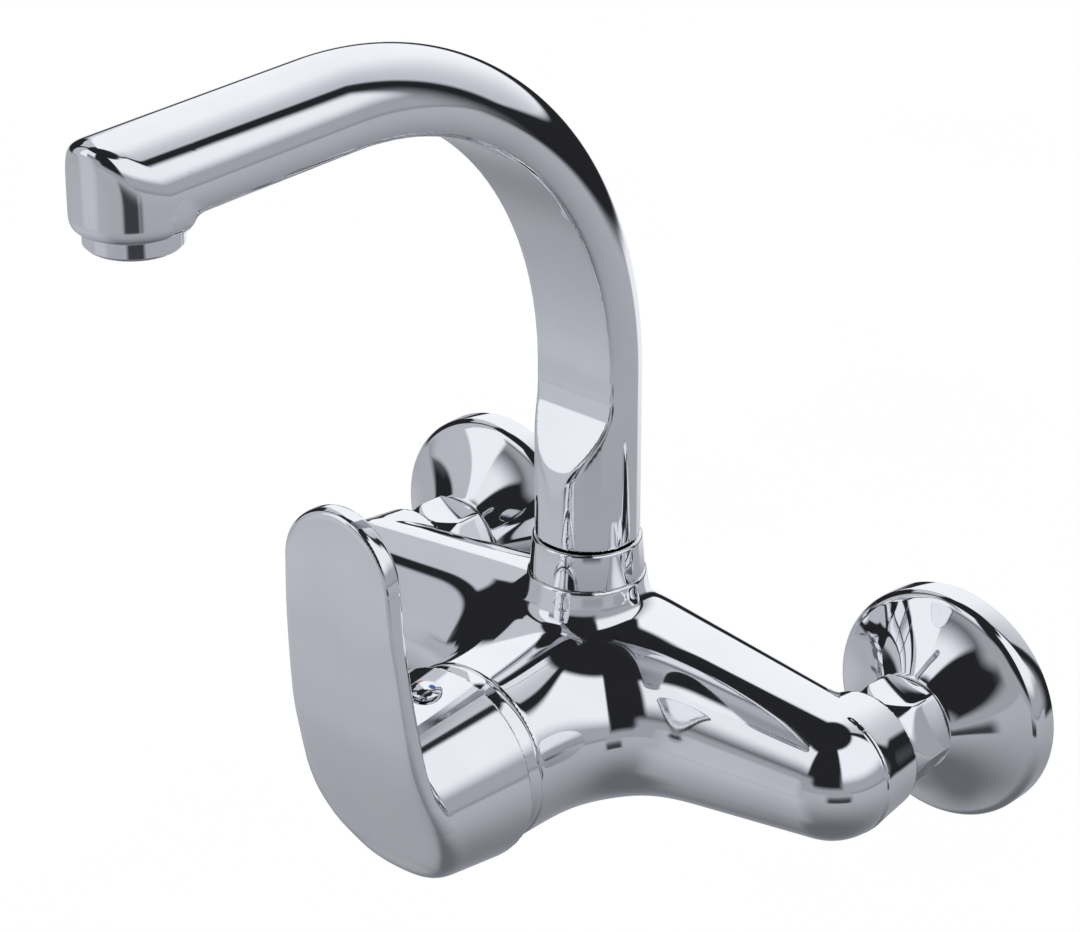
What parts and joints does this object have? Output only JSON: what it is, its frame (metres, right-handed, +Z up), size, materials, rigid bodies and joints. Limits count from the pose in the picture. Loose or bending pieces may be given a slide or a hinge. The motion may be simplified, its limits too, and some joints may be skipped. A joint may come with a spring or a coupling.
{
  "type": "wall mounted single lever sink mixer tap",
  "caption": "Wall-mounted single-lever sink mixer: two-arm body on round wall flanges, high swivel spout with a level arm and round outlet, tall flat lever.",
  "frame": {"origin": "on the wall surface, midway between the two water inlets", "axes": "+X along the wall to the right as seen by the user, +Y into the wall, +Z up"},
  "size_m": [0.2106, 0.2295, 0.2206],
  "materials": {
    "body_chrome": "polished",
    "nut_chrome": "polished",
    "flange_chrome": "polished",
    "spout_chrome": "polished",
    "collar_chrome": "polished",
    "aerator_chrome": "polished",
    "cover_chrome": "polished",
    "handle_chrome": "polished",
    "brass": "machined",
    "union_brass": "machined",
    "rubber": "moulded",
    "slip_plastic": "moulded",
    "insert_plastic": "moulded",
    "screen_steel": "woven wire",
    "cartridge_plastic": "moulded",
    "turret_plastic": "moulded",
    "ceramic_disc": "lapped",
    "stem_steel": "machined",
    "index_red_blue": "glossy with a red and a blue mark"
  },
  "bodies": {
    "fixed": {"mixer_body": "body_chrome", "inlet_seats": "brass", "union_nuts": "nut_chrome", "filter_washers": "rubber", "wall_union_right": "union_brass", "wall_union_left": "union_brass", "wall_flange_right": "flange_chrome", "wall_flange_left": "flange_chrome", "flange_seals": "rubber", "spout_collar": "collar_chrome", "cartridge_base": "cartridge_plastic", "cartridge_port_seals": "rubber", "fixed_ceramic_disc": "ceramic_disc", "cartridge_housing": "cartridge_plastic", "cartridge_retaining_nut": "brass", "cover_ring": "cover_chrome"},
    "spout_arm": {"spout": "spout_chrome", "spout_o_rings": "rubber", "spout_slip_ring": "slip_plastic", "aerator_housing": "aerator_chrome", "aerator_insert": "insert_plastic", "aerator_screen": "screen_steel", "aerator_washer": "rubber"},
    "turret": {"stem_turret": "turret_plastic", "stem_pin": "stem_steel"},
    "lever": {"cartridge_stem": "stem_steel", "lever_handle": "handle_chrome", "handle_grub_screw": "stem_steel", "index_plug": "index_red_blue"},
    "valve_disc": {"moving_ceramic_disc": "ceramic_disc", "disc_carrier": "cartridge_plastic"}
  },
  "joints": [
    {"name": "spout_swivel", "type": "hinge", "parent": "fixed", "child": "spout_arm", "pos_m": [0, -0.054, 0.04], "axis": [0, 0, 1], "range_deg": [-100, 100]},
    {"name": "lever_turn", "type": "hinge", "parent": "fixed", "child": "turret", "pos_m": [0, -0.091, -0.003], "axis": [0, 1, 0], "range_deg": [-50, 50]},
    {"name": "lever_lift", "type": "hinge", "parent": "turret", "child": "lever", "pos_m": [0, -0.091, -0.003], "axis": [1, 0, 0], "range_deg": [0, 18]},
    {"name": "disc_slide", "type": "slide", "parent": "turret", "child": "valve_disc", "axis": [0, 0, 1], "range_m": [0, 0.0034]}
  ],
  "couplings": [
    {"joint": "disc_slide", "follows": "lever_lift", "m_per_rad": 0.0103}
  ]
}
